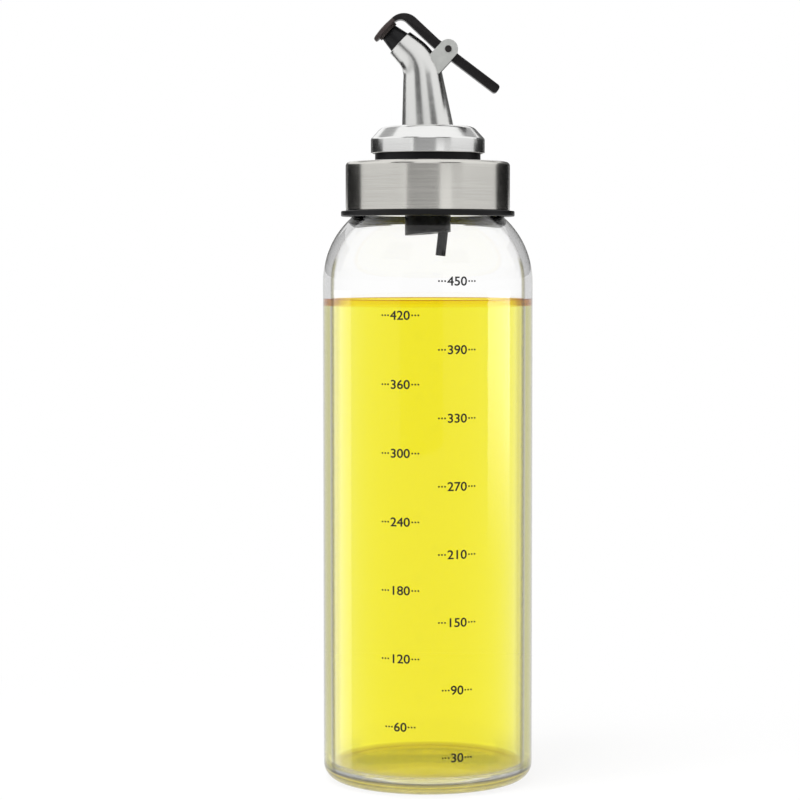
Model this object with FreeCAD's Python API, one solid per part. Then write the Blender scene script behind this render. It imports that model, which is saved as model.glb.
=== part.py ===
import FreeCAD, Part
import math
import os
from FreeCAD import Placement, Rotation, Vector

# Glass oil bottle with a screw cap and a flip-top pourer. Millimetres, +Z up, origin at the base's centre.
# The spout pours towards -X and the lever's tail points to +X.

# Glass bottle
bottle_diameter = 65.0
glass_wall = 2.6
wall_height = 154.5
shoulder_radius = 27.0
neck_diameter = 43.6
neck_root_radius = 2.5
neck_height = 10.8
rim_round = 0.9
heel_radius = 5.0
floor_thickness = 4.6
punt_diameter = 42.0
punt_depth = 1.6

# Screw cap: gasket, liner and steel shell
gasket_thickness = 1.5
thread_room = 2.0
liner_wall = 1.05
liner_ceiling = 1.6
lip_overhang = 1.45
lip_thickness = 1.7
skirt_clearance = 0.5
shell_sheet = 0.5
shell_edge_radius = 1.3
shell_hole_clearance = 0.3

# Stopper: core, rubber sleeve and air tube
socket_diameter = 16.0
socket_wall = 1.6
socket_depth = 11.0
stem_clearance = 0.9
stem_length = 21.9
stem_slant = 4.5
sleeve_wall = 0.9
sleeve_top_drop = 1.4
sleeve_rib_count = 3
sleeve_rib_width = 1.8
collar_diameter = 32.6
collar_height = 2.6
oil_channel_diameter = 4.8
vent_diameter = 1.6
air_tube_diameter = 3.1
air_tube_bore = 1.8
air_tube_length = 7.0
air_tube_depth = 3.5
air_tube_lean = 6.5
air_tube_edge = 0.45

# Pourer flange, a spun steel cover
flange_diameter = 35.2
flange_skirt = 4.45
flange_slope_height = 3.9
flange_slope_run = 3.6
flange_sheet = 0.6
flange_low_radius = 0.9
flange_top_radius = 3.0

# Spout: a leaning foot, an elbow and a short straight end, narrowing all the way to its mouth
spout_base_diameter = 15.9
spout_mouth_diameter = 9.0
spout_sheet = 0.7
spout_foot_lean = 5.6
spout_foot_length = 15.1
spout_bend_radius = 12.0
spout_lean = 47.0
spout_end_length = 4.6
spout_stations = 15

# Nozzle inside the spout, with a head that fills the spout's mouth
nozzle_diameter = 6.4
nozzle_tip_diameter = 5.8
nozzle_bore = 4.4
nozzle_reach = 4.5
nozzle_seat_depth = 7.0
nozzle_bend_radius = 16.0
nozzle_head_depth = 2.5

# Hinge ears and their pin, placed from the spout's mouth
pivot_back = 12.4
pivot_rise = 4.04
ear_width = 6.0
ear_thickness = 0.8
ear_gap = 6.0
pin_diameter = 1.6
pin_head_diameter = 2.1
pin_head_height = 0.3

# Flip lever and the pad under its lid
lever_side_gap = 0.2
lever_thickness = 2.95
lever_drop = 1.24
lever_boss_diameter = 4.6
lever_edge_radius = 0.45
tail_bend_ahead = 4.0
tail_length = 23.9
tail_rise = 6.0
tail_end_radius = 1.0
arch_outer_radius = 5.4
arch_inner_radius = 2.45
lid_diameter = 9.6
lid_thickness = 1.5
pad_thickness = 0.75
pad_margin = 0.5
pad_gap = 0.1

# Fits
assembly_fit = 0.05
running_fit = 0.05

# Radii
bottle_r = bottle_diameter / 2
neck_r = neck_diameter / 2
bore_r = neck_r - glass_wall
liner_in_r = neck_r + thread_room
liner_out_r = liner_in_r + liner_wall
shell_in_r = liner_out_r + assembly_fit
shell_r = shell_in_r + shell_sheet
lip_r = shell_r + lip_overhang
socket_r = socket_diameter / 2
stem_r = socket_r - stem_clearance
sleeve_in_r = stem_r - sleeve_wall / 2
collar_r = collar_diameter / 2
flange_r = flange_diameter / 2
flange_top_r = flange_r - flange_slope_run
spout_base_r = spout_base_diameter / 2
spout_mouth_r = spout_mouth_diameter / 2
spout_hole_r = spout_base_r - spout_sheet
nozzle_r = nozzle_diameter / 2
nozzle_head_r = spout_mouth_r - spout_sheet - assembly_fit
pin_r = pin_diameter / 2

# Heights, stacked from the glass up
shoulder_x = bottle_r - shoulder_radius
root_x = neck_r + neck_root_radius
root_z = wall_height + math.sqrt((shoulder_radius + neck_root_radius) ** 2 - (root_x - shoulder_x) ** 2)
rim_z = root_z + neck_height
ceiling_z = rim_z + gasket_thickness
shell_under_z = ceiling_z + liner_ceiling
cap_top_z = shell_under_z + shell_sheet
lip_z = wall_height + math.sqrt(shoulder_radius**2 - (liner_in_r - skirt_clearance - shoulder_x) ** 2)
shell_bottom_z = lip_z + lip_thickness
socket_bottom_z = ceiling_z - socket_depth
stem_bottom_z = cap_top_z - stem_length
flange_z = cap_top_z + collar_height
slope_z = flange_z + flange_skirt
flange_top_z = slope_z + flange_slope_height
flange_under_z = flange_top_z - flange_sheet
nozzle_seat_z = flange_top_z - nozzle_seat_depth

# Spout's path
foot_angle = math.radians(spout_foot_lean)
mouth_angle = math.radians(spout_lean)
elbow_length = spout_bend_radius * (mouth_angle - foot_angle)
spout_length = spout_foot_length + elbow_length + spout_end_length


def heading(angle: float) -> Vector:
    """The way the path runs where it leans by an angle."""
    return Vector(-math.sin(angle), 0, math.cos(angle))


def spout_path(length: float) -> tuple:
    """A point on the spout's centreline and the path's lean there."""
    foot = min(length, spout_foot_length)
    elbow = min(max(length - spout_foot_length, 0.0), elbow_length)
    end = max(length - spout_foot_length - elbow_length, 0.0)
    lean = foot_angle + elbow / spout_bend_radius
    across = spout_bend_radius * (math.cos(lean) - math.cos(foot_angle))
    up = spout_bend_radius * (math.sin(lean) - math.sin(foot_angle))
    point = Vector(0, 0, flange_top_z) + heading(foot_angle) * foot + Vector(across, 0, up)
    return point + heading(mouth_angle) * end, lean


# The mouth's own frame: flow runs out of the mouth, rise points to the spout's back
flow = heading(mouth_angle)
rise = Vector(math.cos(mouth_angle), 0, math.sin(mouth_angle))
mouth = spout_path(spout_length)[0]

# Hinge and lever places in the mouth's frame
pivot_height = spout_mouth_r + pivot_rise
ear_inner_y = ear_gap / 2
ear_outer_y = ear_inner_y + ear_thickness
lever_width = ear_gap - 2 * lever_side_gap
pad_under = nozzle_reach + pad_gap
lid_under = pad_under + pad_thickness
lid_top = lid_under + lid_thickness
lever_mid = pivot_height - lever_drop
lever_top = lever_mid + lever_thickness / 2
lever_bottom = lever_mid - lever_thickness / 2


def at_mouth(along: float, up: float) -> Vector:
    """A point in the middle plane, measured along the flow and up towards the spout's back."""
    return mouth + flow * along + rise * up


class Outline:
    """A closed outline drawn from point to point with lines and arcs."""

    def __init__(self, x: float, z: float) -> None:
        self.pen = self.first = Vector(x, 0, z)
        self.edges = []

    def line(self, x: float, z: float) -> "Outline":
        end = Vector(x, 0, z)
        self.edges.append(Part.LineSegment(self.pen, end).toShape())
        self.pen = end
        return self

    def arc(self, x: float, z: float, centre_x: float, centre_z: float) -> "Outline":
        """An arc of less than half a turn about a centre."""
        end = Vector(x, 0, z)
        centre = Vector(centre_x, 0, centre_z)
        half_way = ((self.pen - centre) + (end - centre)).normalize()
        middle = centre + half_way * (end - centre).Length
        self.edges.append(Part.Arc(self.pen, middle, end).toShape())
        self.pen = end
        return self

    def face(self) -> Part.Face:
        if (self.pen - self.first).Length > 1e-6:
            self.line(self.first.x, self.first.z)
        return Part.Face(Part.Wire(self.edges))

    def turned(self) -> Part.Shape:
        """The outline turned once round the bottle's axis."""
        return self.face().revolve(Vector(0, 0, 0), Vector(0, 0, 1), 360)


def rod(radius: float, start: Vector, end: Vector) -> Part.Shape:
    return Part.makeCylinder(radius, (end - start).Length, start, end - start)


def glass_bottle() -> Part.Shape:
    """Blown bottle of even wall, with a shallow punt and a round rim."""
    inner_r = bottle_r - glass_wall
    inner_heel = heel_radius - glass_wall
    punt_r = punt_diameter / 2
    punt_sphere = (punt_r**2 + punt_depth**2) / (2 * punt_depth)
    to_root = Vector(root_x - shoulder_x, 0, root_z - wall_height).normalize()
    outer_end = to_root * shoulder_radius
    inner_end = to_root * (shoulder_radius - glass_wall)
    shape = Outline(0, punt_depth).arc(punt_r, 0, 0, punt_depth - punt_sphere)
    shape.line(bottle_r - heel_radius, 0).arc(bottle_r, heel_radius, bottle_r - heel_radius, heel_radius)
    shape.line(bottle_r, wall_height)
    shape.arc(shoulder_x + outer_end.x, wall_height + outer_end.z, shoulder_x, wall_height)
    shape.arc(neck_r, root_z, root_x, root_z)
    shape.line(neck_r, rim_z - rim_round).arc(neck_r - rim_round, rim_z, neck_r - rim_round, rim_z - rim_round)
    shape.line(bore_r + rim_round, rim_z).arc(bore_r, rim_z - rim_round, bore_r + rim_round, rim_z - rim_round)
    shape.line(bore_r, root_z)
    shape.arc(shoulder_x + inner_end.x, wall_height + inner_end.z, root_x, root_z)
    shape.arc(inner_r, wall_height, shoulder_x, wall_height)
    shape.line(inner_r, floor_thickness + inner_heel)
    shape.arc(inner_r - inner_heel, floor_thickness, inner_r - inner_heel, floor_thickness + inner_heel)
    shape.line(0, floor_thickness)
    return shape.turned()


def cap_gasket() -> Part.Shape:
    """Flat washer on the glass rim."""
    outer_r = liner_in_r - skirt_clearance
    return Outline(bore_r, rim_z).line(outer_r, rim_z).line(outer_r, ceiling_z).line(bore_r, ceiling_z).turned()


def cap_liner() -> Part.Shape:
    """Moulded liner: skirt round the neck, lip under the steel shell and socket for the stopper."""
    corner = shell_edge_radius
    socket_out_r = socket_r + socket_wall
    shape = Outline(liner_in_r, lip_z).line(lip_r, lip_z).line(lip_r, shell_bottom_z)
    shape.line(liner_out_r, shell_bottom_z).line(liner_out_r, shell_under_z - corner)
    shape.arc(liner_out_r - corner, shell_under_z, liner_out_r - corner, shell_under_z - corner)
    shape.line(socket_r, shell_under_z).line(socket_r, socket_bottom_z).line(socket_out_r, socket_bottom_z)
    shape.line(socket_out_r, ceiling_z).line(liner_in_r, ceiling_z)
    return shape.turned()


def cap_shell() -> Part.Shape:
    """Drawn steel cup over the liner, with a hole for the stopper."""
    edge = shell_edge_radius
    inner_edge = edge - shell_sheet
    hole_r = socket_r + shell_hole_clearance
    shape = Outline(shell_in_r, shell_bottom_z).line(shell_r, shell_bottom_z).line(shell_r, cap_top_z - edge)
    shape.arc(shell_r - edge, cap_top_z, shell_r - edge, cap_top_z - edge)
    shape.line(hole_r, cap_top_z).line(hole_r, shell_under_z).line(shell_in_r - inner_edge, shell_under_z)
    shape.arc(shell_in_r, cap_top_z - edge, shell_in_r - inner_edge, cap_top_z - edge)
    return shape.turned()


def sleeve_ends() -> tuple:
    """Bottom and top of the groove that holds the sleeve, inside the socket's length."""
    return socket_bottom_z + sleeve_top_drop, cap_top_z - shell_sheet - sleeve_top_drop


def air_tube_line() -> tuple:
    """Top end, mouth at the stopper's bottom and lower end of the air tube."""
    lean = math.radians(air_tube_lean)
    down = Vector(-math.sin(lean), 0, -math.cos(lean))
    reach = air_tube_depth * math.sin(lean)
    bottom = Vector(stem_r - air_tube_edge - air_tube_diameter / 2 - reach, 0, stem_bottom_z)
    return bottom - down * air_tube_depth, bottom, bottom + down * air_tube_length


def stopper_core() -> Part.Shape:
    """Moulded core: stem with a sleeve groove, collar on the cap and a hub under the steel flange."""
    groove_bottom_z, groove_top_z = sleeve_ends()
    low_z = stem_bottom_z - stem_r * math.tan(math.radians(stem_slant))
    disc_r = flange_r - flange_sheet - assembly_fit
    disc_z = flange_z + flange_skirt * 0.7
    hub_r = (spout_base_r + flange_top_r) / 2
    shape = Outline(0, low_z).line(stem_r, low_z).line(stem_r, groove_bottom_z)
    shape.line(sleeve_in_r, groove_bottom_z).line(sleeve_in_r, groove_top_z).line(stem_r, groove_top_z)
    shape.line(stem_r, cap_top_z).line(collar_r, cap_top_z).line(collar_r, flange_z)
    shape.line(disc_r, flange_z).line(disc_r, disc_z).line(hub_r, disc_z)
    shape.line(hub_r, flange_under_z).line(0, flange_under_z)
    core = shape.turned()
    wedge = Part.makeBox(4 * stem_r, 4 * stem_r, 4 * stem_r, Vector(-2 * stem_r, -2 * stem_r, -4 * stem_r))
    wedge.Placement = Placement(Vector(0, 0, stem_bottom_z), Rotation(Vector(0, 1, 0), -stem_slant))
    tube_top, tube_mouth, tube_end = air_tube_line()
    vent_top = Vector(tube_top.x, 0, flange_under_z + 1)
    cuts = [
        wedge,
        rod(oil_channel_diameter / 2, Vector(0, 0, low_z - 1), Vector(0, 0, nozzle_seat_z)),
        rod(nozzle_r + assembly_fit, Vector(0, 0, nozzle_seat_z), Vector(0, 0, flange_under_z + 1)),
        rod(air_tube_diameter / 2 + assembly_fit, tube_top, tube_end),
        rod(vent_diameter / 2, tube_top - Vector(0, 0, 0.5), vent_top),
    ]
    return core.cut(cuts)


def stopper_sleeve() -> Part.Shape:
    """Rubber sleeve in the stem's groove, with round ribs that seal in the socket."""
    bottom_z, top_z = sleeve_ends()
    inner_r = sleeve_in_r + assembly_fit
    outer_r = sleeve_in_r + sleeve_wall
    rib_r = socket_r - running_fit
    half = sleeve_rib_width / 2
    pitch = (socket_depth - 2 * sleeve_top_drop) / sleeve_rib_count
    shape = Outline(inner_r, bottom_z).line(outer_r, bottom_z)
    for i in range(sleeve_rib_count):
        rib_z = bottom_z + pitch * (i + 0.5)
        shape.line(outer_r, rib_z - half).line(rib_r, rib_z - half / 3)
        shape.line(rib_r, rib_z + half / 3).line(outer_r, rib_z + half)
    return shape.line(outer_r, top_z).line(inner_r, top_z).turned()


def air_tube() -> Part.Shape:
    """Short breather tube pushed into the stopper's bottom."""
    tube_top, tube_mouth, tube_end = air_tube_line()
    return rod(air_tube_diameter / 2, tube_top, tube_end).cut(rod(air_tube_bore / 2, tube_top, tube_end))


def pourer_flange() -> Part.Shape:
    """Spun cover of even sheet: skirt, slope and flat top with the spout's hole."""
    slope = math.atan2(flange_slope_height, flange_slope_run)
    low_cut = flange_low_radius * math.tan((math.pi / 2 - slope) / 2)
    top_cut = flange_top_radius * math.tan(slope / 2)
    uphill = Vector(-math.cos(slope), 0, math.sin(slope))
    inward = Vector(-math.sin(slope), 0, -math.cos(slope)) * flange_sheet
    low = Vector(flange_r, 0, slope_z) + uphill * low_cut
    high = Vector(flange_top_r, 0, flange_top_z) - uphill * top_cut
    low_centre = (flange_r - flange_low_radius, slope_z - low_cut)
    top_centre = (flange_top_r - top_cut, flange_top_z - flange_top_radius)
    inner_r = flange_r - flange_sheet
    shape = Outline(inner_r, flange_z).line(flange_r, flange_z).line(flange_r, low_centre[1])
    shape.arc(low.x, low.z, *low_centre).line(high.x, high.z).arc(top_centre[0], flange_top_z, *top_centre)
    shape.line(spout_hole_r, flange_top_z).line(spout_hole_r, flange_under_z).line(top_centre[0], flange_under_z)
    high, low = high + inward, low + inward
    shape.arc(high.x, high.z, *top_centre).line(low.x, low.z).arc(inner_r, low_centre[1], *low_centre)
    return shape.turned()


def spout_ring(share: float, inset: float) -> Part.Wire:
    """The spout's round section a share of the way along its path."""
    length = spout_length * share
    middle, lean = spout_path(length)
    tilt = lean * min(1.0, length / spout_foot_length)
    ring = Part.Wire(Part.makeCircle(spout_base_r + (spout_mouth_r - spout_base_r) * share - inset))
    ring.Placement = Placement(middle, Rotation(Vector(0, 1, 0), -math.degrees(tilt)))
    return ring


def spout_body(inset: float) -> Part.Shape:
    rings = [spout_ring(i / (spout_stations - 1), inset) for i in range(spout_stations)]
    return Part.makeLoft(rings, True, False)


def spout_shell() -> Part.Shape:
    """Bent steel spout, open at both ends."""
    return spout_body(0).cut(spout_body(spout_sheet))


def nozzle_pipe(radius: float, foot_z: float) -> Part.Shape:
    """A round pipe that rises on the bottle's axis and bends into the mouth's own."""
    foot = Vector(0, 0, foot_z)
    corner = mouth + flow * (mouth.x / math.sin(mouth_angle))
    cut = nozzle_bend_radius * math.tan(mouth_angle / 2)
    start = corner - Vector(0, 0, cut)
    middle = start + Vector(-nozzle_bend_radius, 0, 0) + Vector(
        nozzle_bend_radius * math.cos(mouth_angle / 2), 0, nozzle_bend_radius * math.sin(mouth_angle / 2)
    )
    end = corner + flow * cut
    runs = [Part.LineSegment(foot, start), Part.Arc(start, middle, end), Part.LineSegment(end, mouth)]
    path = Part.Wire([run.toShape() for run in runs])
    ring = Part.Wire(Part.makeCircle(radius, foot))
    return path.makePipeShell([ring], True, True)


def nozzle() -> Part.Shape:
    """Moulded nozzle: a pipe through the spout, a head that fills its mouth and a tapered tip."""
    head = rod(nozzle_head_r, at_mouth(-nozzle_head_depth, 0), mouth)
    tip = Part.makeCone(nozzle_head_r, nozzle_tip_diameter / 2, nozzle_reach, mouth, flow)
    bore_tip = rod(nozzle_bore / 2, mouth, at_mouth(nozzle_reach + 1, 0))
    solid = nozzle_pipe(nozzle_r, nozzle_seat_z).fuse([head, tip])
    hollow = nozzle_pipe(nozzle_bore / 2, nozzle_seat_z - 1).fuse(bore_tip)
    return solid.cut(hollow)


def hinge_ear(inner_y: float) -> Part.Shape:
    """A flat ear with a round end, cut to sit on the spout's side."""
    half = ear_width / 2
    pivot = at_mouth(-pivot_back, pivot_height)
    low = -spout_base_r
    corners = [at_mouth(a, u) for a, u in ((half - pivot_back, pivot_height), (half - pivot_back, low))]
    corners += [at_mouth(a, u) for a, u in ((-half - pivot_back, low), (-half - pivot_back, pivot_height))]
    top = at_mouth(-pivot_back, pivot_height + half)
    edges = [Part.LineSegment(corners[i], corners[i + 1]).toShape() for i in range(3)]
    edges.append(Part.Arc(corners[3], top, corners[0]).toShape())
    plate = Part.Face(Part.Wire(edges)).extrude(Vector(0, ear_thickness, 0))
    plate.translate(Vector(0, inner_y, 0))
    hole = rod(pin_r + assembly_fit / 2, pivot + Vector(0, -20, 0), pivot + Vector(0, 20, 0))
    ear = plate.cut([spout_body(0), hole])
    return max(ear.Solids, key=lambda s: s.BoundBox.ZMax)


def pivot_pin() -> Part.Shape:
    """Riveted pin through both ears."""
    pivot = at_mouth(-pivot_back, pivot_height)
    side = Vector(0, 1, 0)
    pin = rod(pin_r, pivot - side * ear_outer_y, pivot + side * ear_outer_y)
    for sign in (-1, 1):
        foot = pivot + side * (sign * ear_outer_y)
        pin = pin.fuse(rod(pin_head_diameter / 2, foot, foot + side * (sign * pin_head_height)))
    return pin.removeSplitter()


def lever_bar() -> Part.Shape:
    """The lever's bent bar: straight tail, arm and arched front leg."""
    bend = math.radians(tail_rise)
    shift = lever_thickness / 2 * math.tan(bend / 2)
    bend_along = tail_bend_ahead - pivot_back
    end_along = bend_along - tail_length * math.cos(bend)
    end_up = lever_mid + tail_length * math.sin(bend)
    thick_along = lever_thickness / 2 * math.sin(bend)
    thick_up = lever_thickness / 2 * math.cos(bend)
    arch_start = lid_top - arch_outer_radius
    arch_root = lid_under - arch_inner_radius
    half_turn = math.sqrt(0.5)
    points = [
        (end_along + thick_along, end_up + thick_up),
        (bend_along + shift, lever_top),
        (arch_start, lever_top),
        (arch_start + arch_outer_radius * half_turn, lever_top - arch_outer_radius * (1 - half_turn)),
        (lid_top, lever_top - arch_outer_radius),
        (lid_top, 0),
        (lid_under, 0),
        (lid_under, lever_bottom - arch_inner_radius),
        (arch_root + arch_inner_radius * half_turn, lever_bottom - arch_inner_radius * (1 - half_turn)),
        (arch_root, lever_bottom),
        (bend_along - shift, lever_bottom),
        (end_along - thick_along, end_up - thick_up),
    ]
    p = [at_mouth(along, up) for along, up in points]
    edges = [Part.LineSegment(p[i], p[i + 1]).toShape() for i in (0, 1, 4, 5, 6, 9, 10)]
    edges += [Part.Arc(p[2], p[3], p[4]).toShape(), Part.Arc(p[7], p[8], p[9]).toShape()]
    edges.append(Part.LineSegment(p[11], p[0]).toShape())
    outline = Part.Wire(Part.__sortEdges__(edges))
    bar = Part.Face(outline).extrude(Vector(0, lever_width, 0))
    bar.translate(Vector(0, -lever_width / 2, 0))
    ends = [e for e in bar.Edges if abs(e.Length - lever_width) < 1e-6]
    tail_ends = [e for e in ends if min((e.CenterOfMass - p[i]).Length for i in (0, 11)) < 1e-3]
    bar = bar.makeFillet(tail_end_radius, tail_ends)
    sides = [e for e in bar.Edges if abs(abs(e.CenterOfMass.y) - lever_width / 2) < 1e-6]
    return bar.makeFillet(lever_edge_radius, sides)


def lever() -> Part.Shape:
    """Flip lever: bar, boss round the pin and round lid over the nozzle's mouth."""
    pivot = at_mouth(-pivot_back, pivot_height)
    side = Vector(0, lever_width / 2, 0)
    boss = rod(lever_boss_diameter / 2, pivot - side, pivot + side)
    lid = rod(lid_diameter / 2, at_mouth(lid_under, 0), at_mouth(lid_top, 0))
    rim = [e for e in lid.Edges if (e.CenterOfMass - at_mouth(lid_top, 0)).Length < 1e-3]
    lid = lid.makeFillet(lever_edge_radius, rim)
    hole = rod(pin_r + running_fit, pivot - side * 2, pivot + side * 2)
    return lever_bar().fuse([boss, lid]).cut(hole)


def lid_pad() -> Part.Shape:
    """Soft disc under the lid that closes the nozzle's mouth."""
    return rod(nozzle_tip_diameter / 2 + pad_margin, at_mouth(pad_under, 0), at_mouth(lid_under, 0))


nodes = {
    "glass_bottle": glass_bottle(),
    "cap_gasket": cap_gasket(),
    "cap_liner": cap_liner(),
    "cap_shell": cap_shell(),
    "stopper_core": stopper_core(),
    "stopper_sleeve": stopper_sleeve(),
    "air_tube": air_tube(),
    "pourer_flange": pourer_flange(),
    "spout_shell": spout_shell(),
    "nozzle": nozzle(),
    "hinge_ear_front": hinge_ear(-ear_outer_y),
    "hinge_ear_rear": hinge_ear(ear_inner_y),
    "pivot_pin": pivot_pin(),
    "flip_lever": lever(),
    "lid_pad": lid_pad(),
}

os.makedirs("parts", exist_ok=True)
for name, shape in nodes.items():
    if shape.ShapeType == "Compound" and len(shape.Solids) == 1:
        shape = shape.Solids[0]
    shape.exportStep(os.path.join("parts", name + ".step"))
    box = shape.BoundBox
    print(name, shape.isValid(), len(shape.Solids), round(shape.Volume, 1), [round(v, 2) for v in (box.ZMin, box.ZMax)])
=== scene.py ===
import logging
import math
from dataclasses import dataclass
from enum import Enum
from functools import reduce

import bmesh
import bpy
from bpy.types import Material, Mesh, Node, NodeSocket, NodeTree, Object
from mathutils import Euler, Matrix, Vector


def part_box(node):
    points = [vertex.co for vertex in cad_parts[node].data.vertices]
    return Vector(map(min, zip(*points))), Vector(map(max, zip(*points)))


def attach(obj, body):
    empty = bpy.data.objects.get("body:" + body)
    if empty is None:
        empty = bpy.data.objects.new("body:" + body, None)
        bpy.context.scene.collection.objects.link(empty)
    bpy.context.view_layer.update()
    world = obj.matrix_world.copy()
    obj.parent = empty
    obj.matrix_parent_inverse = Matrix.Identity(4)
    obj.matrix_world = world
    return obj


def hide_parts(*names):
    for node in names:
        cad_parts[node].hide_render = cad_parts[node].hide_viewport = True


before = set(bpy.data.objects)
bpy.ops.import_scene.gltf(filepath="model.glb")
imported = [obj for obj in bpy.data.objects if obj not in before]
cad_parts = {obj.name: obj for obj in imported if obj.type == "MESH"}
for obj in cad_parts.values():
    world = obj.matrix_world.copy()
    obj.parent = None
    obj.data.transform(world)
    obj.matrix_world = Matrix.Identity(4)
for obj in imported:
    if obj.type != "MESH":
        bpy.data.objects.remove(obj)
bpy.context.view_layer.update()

MM = 0.001
WHITE = (1.0, 1.0, 1.0, 1.0)
NOISE_SPREAD = (0.3, 0.7)
WALL_DIMMING = 0.38
FEW_CROSSINGS = 2.5
COLUMN_STEP_ML = 60
SHARED_NODES = ("Math", "CombineXYZ", "SeparateXYZ")
RAY_KINDS = ("camera", "diffuse", "glossy", "transmission", "shadow", "volume_scatter")

Colour = tuple[float, float, float]
Span = tuple[float, float]

log = logging.getLogger("oil_bottle")


class Body(str, Enum):
    """The rigid bodies that pieces ride on."""

    BOTTLE = "bottle"
    CAP = "cap"
    POURER = "pourer"
    LEVER = "lever"


class Column(Enum):
    """The volume scale's columns: degrees from the front, first volume, its height, step and count."""

    LEFT = (-14.8, 60, 21.2, 20.62, 7)
    RIGHT = (15.7, 30, 11.9, 20.46, 8)

    @property
    def angle(self) -> float:
        """The column's place round the glass, in radians."""
        return math.radians(self.value[0])

    def marks(self) -> list[tuple[int, float]]:
        """The volumes printed in the column, with their heights in millimetres."""
        _, volume, height, step, count = self.value
        return [(volume + COLUMN_STEP_ML * i, height + step * i) for i in range(count)]

    def step(self) -> float:
        """The height from one mark of the column to the next."""
        return self.value[3]


class NodeBoard:
    """A node tree with short calls for adding and linking nodes."""

    prefix = ""
    tree: NodeTree

    def add(self, kind: str, inputs: dict | None = None, **settings: object) -> Node:
        """Add a node.

        Args:
            kind: The node's type without its prefix.
            inputs: Input socket to a plain value, or to an output socket to link.
            settings: Properties of the node.

        Returns:
            The new node.
        """
        start = "ShaderNode" if kind in SHARED_NODES else self.prefix
        node = self.tree.nodes.new(start + kind)
        for key, value in settings.items():
            setattr(node, key, value)
        for key, value in (inputs or {}).items():
            if isinstance(value, NodeSocket):
                self.tree.links.new(value, node.inputs[key])
            else:
                node.inputs[key].default_value = value
        return node

    def math(self, operation: str, a: object, b: object = 0.0) -> NodeSocket:
        """Add a Math node and hand its result back."""
        return self.add("Math", {0: a, 1: b}, operation=operation).outputs[0]

    def product(self, *factors: object) -> NodeSocket:
        """Multiply values and sockets."""
        return reduce(lambda a, b: self.math("MULTIPLY", a, b), factors)


class Canvas(NodeBoard):
    """A material's node tree, or a world's."""

    prefix = "ShaderNode"

    def __init__(self, name: str, sky: NodeTree | None = None) -> None:
        """Start an empty material, or empty a world's tree.

        Args:
            name: The material's name.
            sky: A world's node tree to draw on instead of a material's.
        """
        self.material = None if sky else bpy.data.materials.new(name)
        if self.material:
            self.material.use_nodes = True
        self.tree = sky or self.material.node_tree
        self.tree.nodes.clear()
        self.output = self.add("OutputWorld" if sky else "OutputMaterial")

    def spot(self) -> tuple[NodeSocket, ...]:
        """Object coordinates: the whole vector, x, y, height and distance from the axis."""
        place = self.add("TexCoord").outputs["Object"]
        x, y, height = self.add("SeparateXYZ", {0: place}).outputs
        radius = self.math("SQRT", self.math("ADD", self.product(x, x), self.product(y, y)))
        return place, x, y, height, radius

    def facing(self) -> NodeSocket:
        """How far a surface turns away: 0 where it faces the eye, 1 at its edge."""
        return self.add("LayerWeight", {"Blend": 0.5}).outputs["Facing"]

    def noise(self, vector: NodeSocket, scale: float, detail: float = 2.0) -> NodeSocket:
        """Add a noise texture and hand its value back."""
        return self.add("TexNoise", {"Vector": vector, "Scale": scale, "Detail": detail}).outputs["Fac"]

    def bump(self, height: NodeSocket, strength: float, distance: float) -> NodeSocket:
        """Add a bump and hand its normal back."""
        return self.add("Bump", {"Strength": strength, "Distance": distance, "Height": height}).outputs[0]

    def remap(self, value: NodeSocket, low: float, high: float) -> NodeSocket:
        """Map a noise value from its usual spread to a range."""
        spread = {"From Min": NOISE_SPREAD[0], "From Max": NOISE_SPREAD[1], "To Min": low, "To Max": high}
        return self.add("MapRange", {"Value": value, **spread}).outputs["Result"]

    def ease(self, value: NodeSocket, start: float, stop: float) -> NodeSocket:
        """Rise smoothly from 0 to 1 while a value goes from start to stop, or fall where stop is lower.

        Args:
            value: Socket to follow.
            start: Value at which the result is 0.
            stop: Value at which the result is 1.

        Returns:
            The result socket.
        """
        span = {"From Min": min(start, stop), "From Max": max(start, stop)}
        span |= {"To Min": float(start > stop), "To Max": float(start < stop)}
        node = self.add("MapRange", {"Value": value, **span}, interpolation_type="SMOOTHSTEP")
        return node.outputs["Result"]

    def tinted(self, share: object, base: object, tint: Colour) -> NodeSocket:
        """Mix a share of a tint into a colour."""
        return self.add("MixRGB", {0: share, 1: base, 2: (*tint, 1.0)}).outputs[0]

    def between(self, value: NodeSocket, first: Colour, last: Colour) -> NodeSocket:
        """Run from one colour to another while a value goes from 0 to 1."""
        ramp = self.add("ValToRGB", {0: value})
        for element, colour in zip(ramp.color_ramp.elements, (first, last)):
            element.color = (*colour, 1.0)
        return ramp.outputs[0]

    def mixed(self, share: object, first: Node, last: Node) -> Node:
        """Mix two shaders."""
        return self.add("MixShader", {0: share, 1: first.outputs[0], 2: last.outputs[0]})

    def surface(self, shader: Node) -> Material:
        """Send a shader to the surface and hand the material back."""
        self.tree.links.new(shader.outputs[0], self.output.inputs["Surface"])
        return self.material


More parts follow.
